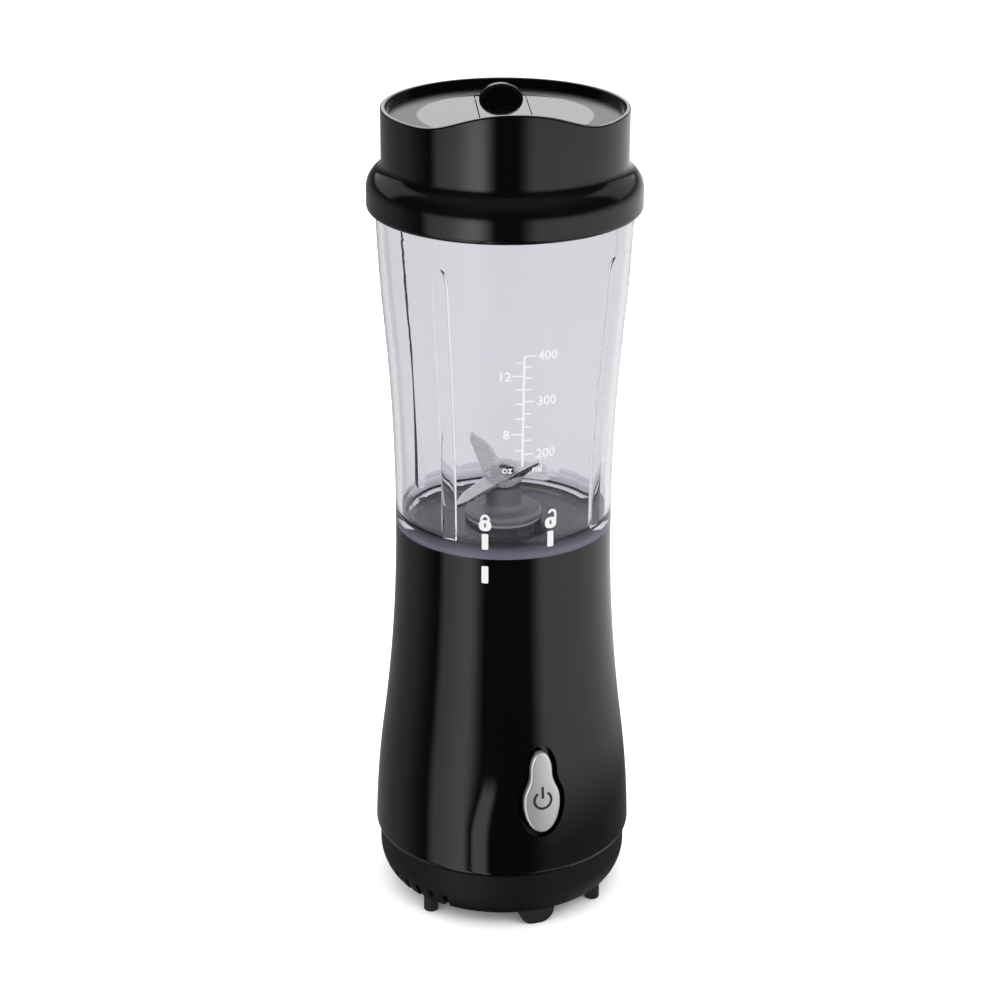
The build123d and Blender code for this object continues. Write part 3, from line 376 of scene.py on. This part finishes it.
turn = np.linspace(sign_gap, 2 * np.pi - sign_gap, ring_rows)
ring = np.stack([sign_r * np.sin(turn), sign_z + sign_r * np.cos(turn)], axis=1)
stem_z = np.linspace(sign_z + stem_low, sign_z + stem_high, stem_rows)
stem = np.stack([np.zeros(stem_rows), stem_z], axis=1)
dark_ink = pad_ink("dark_ink", (0.012, 0.012, 0.013), (0.03, 0.03, 0.031))
points, faces = together([stroke(ring, sign_line), stroke(stem, sign_line)])
piece("power_sign", wrapped(points, button_face, 0), faces, dark_ink, "button")


# Switch behind the button: a snap-action switch in tan plastic on a screwed carrier,
# worked by a short round plunger.

switch_plastic = moulded("switch_plastic", (0.30, 0.21, 0.12), (0.40, 0.30, 0.19), (0.35, 0.5),
                         drift_mm=6, grain_mm=0.4, grain_depth_mm=0.01)
dress(switch_plastic, "switch_body", "switch_plunger")


def drawn_metal(name, deep, pale, rough, lay_mm, stretch, depth_mm=0.004):
    """Bare metal: fine lines of the tool or the grinding belt in its tone, gloss and surface."""
    finish, root, shader = new_finish(name, Metallic=1.0)
    lay = noise(root, lay_mm, detail=4.0, stretch=stretch)
    cloud = noise(root, 7)
    (lay * 0.6 + cloud * 0.4).blend(deep, pale).into(shader, "Base Color")
    (rough[0] + lay * (rough[1] - rough[0])).into(shader, "Roughness")
    bump(root, shader, lay, depth_mm, strength=0.5)
    return finish


bright_steel = drawn_metal("bright_steel", (0.50, 0.50, 0.51), (0.68, 0.68, 0.69), (0.2, 0.38),
                           lay_mm=0.5, stretch=(1.0, 1.0, 6.0))
dress(bright_steel, "carrier_screws", "cover_screws", "tie_screws", "motor_screws")


# Motor: a two-pole series motor hung from the deck. Stamped steel sheets make the field and
# armature cores, enamelled copper wire the coils, and a sintered bronze sleeve each bearing.

def ridges(root, direction, **values):
    """Even ridges that follow each other along one direction."""
    return root.make("ShaderNodeTexWave", {"bands_direction": direction},
                     {"Vector": place_on(root), **values}, out=1)


def stacked_sheets(name):
    """Stamped sheets on edge: fine level lines, blued by the anneal."""
    finish, root, shader = new_finish(name, Metallic=0.9)
    sheet = ridges(root, "Z", Scale=310.0)
    cloud = noise(root, 5)
    tone = sheet * 0.5 + cloud * 0.5
    tone.blend((0.10, 0.11, 0.13), (0.30, 0.31, 0.33)).into(shader, "Base Color")
    (0.35 + cloud * 0.2).into(shader, "Roughness")
    bump(root, shader, sheet, 0.05)
    return finish


def wound_wire(name, direction):
    """Turns of enamelled wire laid side by side: round ridges across one direction."""
    finish, root, shader = new_finish(name, Metallic=0.8, Coat_Roughness=0.15)
    turns = ridges(root, direction, Scale=260.0, Distortion=1.2, Detail=1.0)
    cloud = noise(root, 4)
    tone = turns * 0.7 + cloud * 0.3
    tone.blend((0.20, 0.06, 0.025), (0.62, 0.26, 0.12)).into(shader, "Base Color")
    (0.28 + cloud * 0.15).into(shader, "Roughness")
    (0.4 + cloud * 0.3).into(shader, "Coat Weight")
    bump(root, shader, turns, 0.18)
    return finish


dress(stacked_sheets("stacked_sheets"), "stator_core", "armature_core")
dress(wound_wire("field_wire", "Z"), "front_field_coil", "rear_field_coil")
dress(wound_wire("armature_wire", "X"), "armature_winding")
copper = drawn_metal("commutator_copper", (0.42, 0.17, 0.08), (0.66, 0.32, 0.17), (0.2, 0.4),
                     lay_mm=0.4, stretch=(1.0, 1.0, 9.0))
dress(copper, "commutator")
brass = drawn_metal("brass", (0.50, 0.34, 0.12), (0.68, 0.50, 0.22), (0.25, 0.42),
                    lay_mm=0.6, stretch=(1.0, 0.2, 1.0))
dress(brass, "front_brush_holder", "rear_brush_holder")
carbon = moulded("carbon", (0.012, 0.012, 0.013), (0.035, 0.035, 0.036), (0.5, 0.75),
                 drift_mm=3, grain_mm=0.2, grain_depth_mm=0.03)
dress(carbon, "front_carbon_brush", "rear_carbon_brush")
bronze = moulded("sintered_bronze", (0.30, 0.17, 0.07), (0.46, 0.29, 0.13), (0.35, 0.6),
                 drift_mm=3, grain_mm=0.15, grain_depth_mm=0.03, Metallic=0.9)
dress(bronze, "upper_bearing", "lower_bearing", "blade_sleeve")
dress(bright_steel, "motor_shaft")


# Cooling fan and dog clutch: glass-filled nylon mouldings, the fan pressed on the lower end of
# the motor shaft, one clutch half on its upper end and the other half on the blade shaft.

nylon = moulded("moulded_nylon", (0.018, 0.018, 0.019), (0.045, 0.045, 0.046), (0.38, 0.55),
                drift_mm=8, grain_mm=0.5, grain_depth_mm=0.015)
dress(nylon, "cooling_fan", "drive_clutch", "driven_clutch")


# Jar: a clear cup blow-moulded with a waist, four inner ribs, a bayonet skirt below and a
# screw thread round its mouth. The plastic has a faint violet cast where it is thick.

cast_low = 0.156
cast_high = 0.166
# Heights of the ring of painted shade on the outside of the jar's foot.
foot_shade_low = 0.1588
foot_shade_high = 0.1652
skin_inner_r = 0.0404
skin_outer_r = 0.0414


def clear_plastic():
    """Clear plastic: a violet cast that deepens in the thick foot, and faint rubs in its polish. A
    ring of painted shade on the outside of the foot, a diffuse violet-grey shader mixed in by height
    and radius, stands in for the darker view through the thick foot."""
    finish, root, shader = new_finish("clear_plastic", IOR=1.25, Transmission_Weight=1.0)
    radius, height = from_axis(root)
    foot = 1 - height.step(cast_low, cast_high)
    foot.blend((0.815, 0.81, 0.845), (0.70, 0.68, 0.77)).into(shader, "Base Color")
    rubs = noise(root, 0.8, detail=4.0, stretch=(1.0, 1.0, 0.1)).step(0.6, 0.9)
    (0.008 + rubs * 0.03).into(shader, "Roughness")
    bump(root, shader, noise(root, 18), 0.01, strength=0.12)
    # Painted shade: a diffuse violet-grey shader, half mixed in on the outside of the foot, darkens
    # that ring in place of the view through the thick foot.
    outside = radius.step(skin_inner_r, skin_outer_r) * (1 - height.step(foot_shade_low, foot_shade_high))
    cloud = noise(root, 6).blend((0.24, 0.22, 0.31), (0.32, 0.29, 0.40))
    painted_foot_shade = root.make("ShaderNodeBsdfPrincipled", None,
                      {"Base Color": cloud, "Roughness": 0.3, "IOR": 1.4})
    clear = Wire(finish.node_tree, shader.outputs[0])
    mixed = root.make("ShaderNodeMixShader", None, {0: outside * 0.5, 1: clear, 2: painted_foot_shade})
    mixed.onto("Material Output")
    return finish


jar_clear = clear_plastic()
dress(jar_clear, "jar")
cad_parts["jar"].visible_shadow = False


neck_r = 48.3
jar_foot_z = 163.7
jar_bend = (45.6, 238.7)
jar_top = (neck_r, 279.0)


def jar_wall(z):
    """Radius of the jar's outside at heights z: upright at the foot, then an S-shaped wall."""
    upper = flare(np.maximum(z, jar_foot_z), (waist_r, jar_foot_z), jar_bend, jar_top)
    return np.where(z < jar_foot_z, waist_r, upper)


thread_low = 284.6
thread_high = 290.2
thread_turns = 1.5
thread_rows = 240
thread_ease = 0.06
thread_gap = 0.02
ridge_places = [-0.5, -0.3, 0.3, 0.5]
ridge_levels = [0.0, 1.0, 1.0, 0.0]


def thread(radius, outward, width, height):
    """A screw thread: a flat-topped ridge carried along a helix, its height easing in and out at
    the ends. It stands outwards from its wall, or inwards if outward is -1."""
    t = np.linspace(0, 1, thread_rows)[:, None]
    angle = 2 * np.pi * thread_turns * t
    ease = np.sin(np.pi * np.clip(np.minimum(t, 1 - t) / thread_ease, 0, 1) / 2)
    across = np.array(ridge_places)[None, :] * width
    stand = np.array(ridge_levels)[None, :] * height * ease + thread_gap
    reach = radius + outward * stand
    z = thread_low + (thread_high - thread_low) * t + across
    points = np.dstack([reach * np.sin(angle), -reach * np.cos(angle), z]).reshape(-1, 3)
    index = np.arange(len(points)).reshape(thread_rows, len(ridge_places))
    ahead = np.roll(index, -1, axis=1)
    faces = np.stack([index[:-1], ahead[:-1], ahead[1:], index[1:]], axis=2).reshape(-1, 4)
    faces = faces.tolist() + [index[0][::-1].tolist(), index[-1].tolist()]
    return points, faces if outward < 0 else [face[::-1] for face in faces]


points, faces = thread(neck_r, 1, width=1.8, height=0.8)
piece("jar_thread", points, faces, jar_clear, "jar", smooth=True)


# Jar scale: an upright line with short ticks, a fluid ounce side on the left and a millilitre
# side on the right, pad-printed in white on the outside of the jar.

scale_turn = -9.1
scale_low = 195.4
scale_line = 0.85
tick_line = 0.55
tick_start = 0.2
tick_long = 4.3
tick_short = 3.0
tick_rows = 14
ml_ticks = range(200, 401, 25)
ml_numbers = (200, 300, 400)
oz_ticks = range(7, 14)
oz_numbers = {12: -7.2, 8: -6.2}
ounce = 29.57
empty_level = 149.3
level_per_ml = 0.286
level_loss = 0.00015


def fill_level(ml):
    """Height that a filling reaches: the jar widens upwards, so each further measure rises less."""
    return empty_level + level_per_ml * ml - level_loss * ml ** 2


def tick(ml, side, numbered):
    """A level line from the scale to its right (side 1) or left (side -1)."""
    x = side * np.linspace(tick_start, tick_long if numbered else tick_short, tick_rows)
    return stroke(np.stack([x, np.full(tick_rows, fill_level(ml))], axis=1), tick_line)


scale_high = fill_level(ml_ticks[-1]) + tick_line / 2
parts = [bar(scale_low, scale_high, scale_line, soft=0.1)]
parts += [tick(ml, 1, ml in ml_numbers) for ml in ml_ticks]
parts += [tick(oz * ounce, -1, oz in oz_numbers) for oz in oz_ticks]
points, faces = together(parts)
piece("jar_scale", wrapped(points, jar_wall, scale_turn), faces, white_ink, "jar")


digit_share = 0.73
letter_weight = 0.028
number_x = 8.8
number_lift = 0.1
number_tall = 3.7
unit_x = 5.7
unit_z = 194.4
unit_tall = 2.9


def lettering(text, x, y, height):
    """Flat letters as points and faces in mm, centred on x, y: digits of the given height."""
    curve = bpy.data.curves.new(text, "FONT")
    curve.body = text
    curve.size = height / digit_share
    curve.align_x = "CENTER"
    curve.resolution_u = 3
    curve.offset = letter_weight * height
    curve.extrude = (film_high - film_low) / 2
    holder = bpy.data.objects.new(text, curve)
    mesh = bpy.data.meshes.new_from_object(holder)
    flat = np.empty(len(mesh.vertices) * 3)
    mesh.vertices.foreach_get("co", flat)
    points = flat.reshape(-1, 3) + [x, y - height / 2, (film_low + film_high) / 2]
    faces = [list(polygon.vertices) for polygon in mesh.polygons]
    bpy.data.objects.remove(holder)
    bpy.data.curves.remove(curve)
    bpy.data.meshes.remove(mesh)
    return points, faces


parts = [lettering(str(ml), number_x, fill_level(ml) + number_lift, number_tall)
         for ml in ml_numbers]
parts += [lettering(str(oz), x, fill_level(oz * ounce), number_tall)
          for oz, x in oz_numbers.items()]
parts.append(lettering("oz", -unit_x, unit_z, unit_tall))
parts.append(lettering("ml", unit_x, unit_z, unit_tall))
points, faces = together(parts)
piece("jar_numbers", wrapped(points, jar_wall, scale_turn), faces, white_ink, "jar")


# Lock signs on the jar: a closed and an open padlock, each above a bar. The bar under the
# closed one stands over the base's own bar when the jar is locked.

lock_half = (2.35, 2.25)
lock_z = 171.5
lock_square = 0.8
keyhole_half = (0.42, 0.95)
keyhole_z = 171.6
lock_rows = 48
shackle_line = 0.95
shackle_rows = 32
lock_bar_low = 161.7
lock_bar_high = 168.1
lock_bar_width = 2.5
unlock_turn = 6.5


def oval(angle, middle, half):
    """Points round an oval, from its top: middle is (x, y) and half its half width and height."""
    return np.stack([middle[0] + half[0] * np.sin(angle), middle[1] + half[1] * np.cos(angle)], axis=1)


def padlock(shackle):
    """A padlock 5 mm wide: a round-cornered body with a keyhole, and a shackle along a given line."""
    t = np.linspace(0, 2 * np.pi, lock_rows, endpoint=False)
    way = np.stack([np.cos(t), np.sin(t)], axis=1)
    body = np.sign(way) * np.abs(way) ** lock_square * lock_half + [0, lock_z]
    keyhole = way * keyhole_half + [0, keyhole_z]
    return [film(keyhole, body, closed=True), stroke(shackle, shackle_line)]


shut = oval(np.linspace(-np.pi / 2, np.pi / 2, shackle_rows), (0, 173.5), (1.45, 2.0))
swung = oval(np.linspace(-0.42 * np.pi, np.pi / 2, shackle_rows), (0.55, 175.0), (1.35, 1.5))
leg = np.linspace((1.9, 174.9), (1.9, 172.4), 8)
swung = np.concatenate([swung, leg])
lock_bar = bar(lock_bar_low, lock_bar_high, lock_bar_width)
for name, turn, shackle in (("lock_mark", mark_turn, shut), ("unlock_mark", unlock_turn, swung)):
    points, faces = together(padlock(shackle) + [lock_bar])
    piece(name, wrapped(points, jar_wall, turn), faces, white_ink, "jar")


# Blade unit: a bearing bushing clamped through the jar's floor by a grip nut, with a ground
# stainless shaft, two pressed blades, a spacer and a domed cap nut above it.

grey_plastic = moulded("grey_plastic", (0.11, 0.11, 0.115), (0.17, 0.17, 0.175), (0.3, 0.45),
                       drift_mm=9, grain_mm=0.5, grain_depth_mm=0.012)
dress(grey_plastic, "blade_bushing", "bushing_nut")
ground_steel = drawn_metal("ground_steel", (0.46, 0.46, 0.47), (0.66, 0.66, 0.67), (0.18, 0.34),
                           lay_mm=0.35, stretch=(0.12, 1.0, 1.0))
dress(ground_steel, "upper_blade", "lower_blade", "blade_cap_nut", "blade_shaft", "blade_spacer")


# Silicone seals: the ring between the jar's mouth and the lid, the stopper under the flap and
# the washer under the bushing, cast in a milky silicone.

silicone = moulded("clear_silicone", (0.62, 0.63, 0.64), (0.74, 0.75, 0.76), (0.35, 0.5), drift_mm=5,
                   grain_mm=0.6, grain_depth_mm=0.01, Transmission_Weight=0.35, IOR=1.41)
dress(silicone, "lid_gasket", "flap_plug", "bushing_gasket")


# Drinking lid: one gloss black moulding that screws on the jar, with a raised lip at the front,
# a sunk disc, and a flap on a steel pin that is tipped up by its thumb tab.

lid_gloss = polished("lid_gloss", rough=0.05, satin=0.22)
dress(lid_gloss, "travel_lid", "sip_flap")
dress(bright_steel, "flap_hinge_pin")
lid_bore_r = neck_r + 1.3
points, faces = thread(lid_bore_r, -1, width=1.6, height=0.38)
piece("lid_thread", points, faces, lid_gloss, "lid", smooth=True)


# Stage: a white floor that keeps the soft shadow, deepened near the object by painted shadow (an
# occlusion mask on its glow), a white surround, and a round screen with tall light panels to the
# left and right of the camera, which the gloss black shows as two upright bands.

def ray(root, kind):
    """What kind of ray asks for the shade."""
    return root.make("ShaderNodeLightPath", out=kind)


paper, root, shader = new_finish("floor_paper", Roughness=0.9, Specular_IOR_Level=0.0)
noise(root, 30).blend((0.88, 0.88, 0.88), (0.90, 0.90, 0.90)).into(shader, "Base Color")
# Painted shadow: the floor's glow is scaled by ambient occlusion, so it fades to dark close to the
# object.
painted_shadow_ao = root.make("ShaderNodeAmbientOcclusion", {"samples": 8}, {"Distance": 0.025}, out="AO")
seen = ray(root, "Is Camera Ray") * 0.8 + ray(root, "Is Transmission Ray") * 0.2
glow = root.make("ShaderNodeEmission", None, {"Strength": seen * painted_shadow_ao})
lit = Wire(paper.node_tree, shader.outputs[0])
root.make("ShaderNodeAddShader", None, {0: lit, 1: glow}).onto("Material Output")

floor_half = 4.0
floor_corners = [(-floor_half, -floor_half, 0), (floor_half, -floor_half, 0),
                 (floor_half, floor_half, 0), (-floor_half, floor_half, 0)]
floor = mesh_object("floor", floor_corners, [(0, 1, 2, 3)], paper)
floor.visible_glossy = False

# The white surround: the camera sees it as white, and gloss sees a bright wall behind the object.
look = np.array([0.31486, 0.94914, 0.0])
look /= np.linalg.norm(look)
right = np.array([look[1], -look[0], 0.0])
degree = 180 / np.pi
pale_grey = (0.8, 0.8, 0.8, 1.0)

world = bpy.data.worlds.new("surround")
bpy.context.scene.world = world
world.use_nodes = True
world.cycles.sampling_method = "NONE"
world.node_tree.nodes.remove(world.node_tree.nodes["Background"])
sky = Wire(world.node_tree)
way = sky.make("ShaderNodeTexCoord", out="Generated")
front = way.along(-look)
sideways = sky.math("ABSOLUTE", way.along(right))
height = sky.math("ARCSINE", way.parts()[2]) * degree
far_half = (1 - front.step(-0.4, -0.2)) * height.between(11, 60, 3)
behind = far_half * (0.6 + (1 - sideways.step(0.3, 0.5)) * 1.7)
overhead = height.step(35, 70) * 0.18
mirror = behind + overhead + 0.015

glossy = ray(sky, "Is Glossy Ray")
passed = sky.math("GREATER_THAN", ray(sky, "Transmission Depth"), 0.5)
white = sky.math("MAXIMUM", ray(sky, "Is Camera Ray") * 1.25, ray(sky, "Is Transmission Ray"))
in_gloss = glossy * passed * 0.6 + glossy * (1 - passed) * mirror
level = white + in_gloss + ray(sky, "Is Diffuse Ray")
sky.make("ShaderNodeBackground", None, {"Color": pale_grey, "Strength": level}).onto("World Output")

# The round screen: panels by azimuth, in degrees from the camera's side and to the right, and by
# level in metres. The lid sees the part above for_lid and the base the part below it.
cloth, root, shader = new_finish("screen_cloth")
cloth.cycles.emission_sampling = "NONE"
spot = place_on(root)
level_z = spot.parts()[2]
azimuth = root.math("ARCTAN2", spot.along(right), spot.along(-look)) * degree
for_lid = level_z.step(0.05, 0.12)
low_half = 1 - level_z.step(0.225, 0.37) * 0.97
climb = level_z.step(-0.085, 0.002)

left_tone = 0.95 + azimuth.step(-60, -33) * 0.6 + azimuth.step(-43, -24) * for_lid * 1.3
left_end = 1 - (azimuth - for_lid * 10.5).step(-33.5, -26.3 + climb * 10)
left_panel = azimuth.step(-69, -57.5) * left_end * left_tone
far_left = (1 - azimuth.step(-101, -65)) * 0.28

strip_start = (azimuth - climb * 11).step(-27, -23)
strip_end = 1 - (azimuth - climb * 8).step(-15.5, -9.5)
low_strip = strip_start * strip_end * (1 - level_z.step(-0.034, -0.004)) * 1.5

right_low = 0.15 + level_z.step(-0.115, 0.0) * 0.85 + (1 - level_z.step(-0.27, -0.20)) * 0.4
right_tone = (1.25 - azimuth.step(48, 106) * 0.2) * right_low
right_panel = (azimuth + for_lid * 14.5).step(24, 42) * right_tone

straight = 1 - root.math("GREATER_THAN", ray(root, "Transmission Depth"), 0.5)
panels = (left_panel + low_strip + right_panel + far_left) * low_half * straight
shine = root.make("ShaderNodeEmission", None, {"Color": pale_grey, "Strength": panels})
clear = root.make("ShaderNodeBsdfTransparent")
root.make("ShaderNodeAddShader", None, {0: shine, 1: clear}).onto("Material Output")

screen_r = 0.35
screen_low = -0.6
screen_high = 0.7
screen_count = 96
around = np.arange(screen_count) * 2 * np.pi / screen_count
ring = np.stack([screen_r * np.cos(around), screen_r * np.sin(around)], axis=1)
screen_corners = [(x, y, z) for z in (screen_low, screen_high) for x, y in ring]
this_edge = np.arange(screen_count)
next_edge = np.roll(this_edge, -1)
strips = np.stack([this_edge, next_edge, next_edge + screen_count, this_edge + screen_count], axis=1)
screen = mesh_object("screen", screen_corners, strips, cloth)
screen.visible_camera = False
screen.visible_diffuse = False
screen.visible_transmission = False
screen.visible_shadow = False


def set_up(thing, across, upward, back, place):
    """Puts a lamp or the camera at place, with its own x, y and z along three directions."""
    bpy.context.scene.collection.objects.link(thing)
    turned = np.eye(4)
    turned[:3] = np.stack([across, upward, back, place], axis=1)
    thing.matrix_world = Matrix(turned.tolist())


middle = np.array([0.0, 0.0, 0.15])
upright = np.array([0.0, 0.0, 1.0])


def lamp(name, near, aside, above, size, watts):
    """A soft square lamp that shines on the middle of the object. It hangs near metres to the
    camera's side of it, aside to the right and above it."""
    light = bpy.data.lights.new(name, "AREA")
    light.shape = "SQUARE"
    light.size = size
    light.energy = watts
    holder = bpy.data.objects.new(name, light)
    away = right * aside - look * near + upright * above
    place = middle + away
    away /= np.linalg.norm(away)
    across = np.cross(upright, away)
    across /= np.linalg.norm(across)
    set_up(holder, across, np.cross(away, across), away, place)
    holder.visible_glossy = False


lamp("key_lamp", near=1.0, aside=0.9, above=1.1, size=0.9, watts=7)
lamp("fill_lamp", near=1.0, aside=-1.1, above=0.8, size=1.1, watts=4)

# The camera, at the photograph's angle.
camera_place = (-0.2948, -0.8844, 0.5472)
pitch = np.radians(22.30)
roll = np.radians(0.256)
forward = look * np.cos(pitch) - upright * np.sin(pitch)
rise = np.cross(right, forward)
camera_data = bpy.data.cameras.new("camera")
camera_data.sensor_width = 36.0
camera_data.lens = 93.0
camera = bpy.data.objects.new("camera", camera_data)
set_up(camera, right * np.cos(roll) + rise * np.sin(roll),
       rise * np.cos(roll) - right * np.sin(roll), -forward, camera_place)
bpy.context.scene.camera = camera
bpy.context.scene.view_settings.view_transform = "Standard"
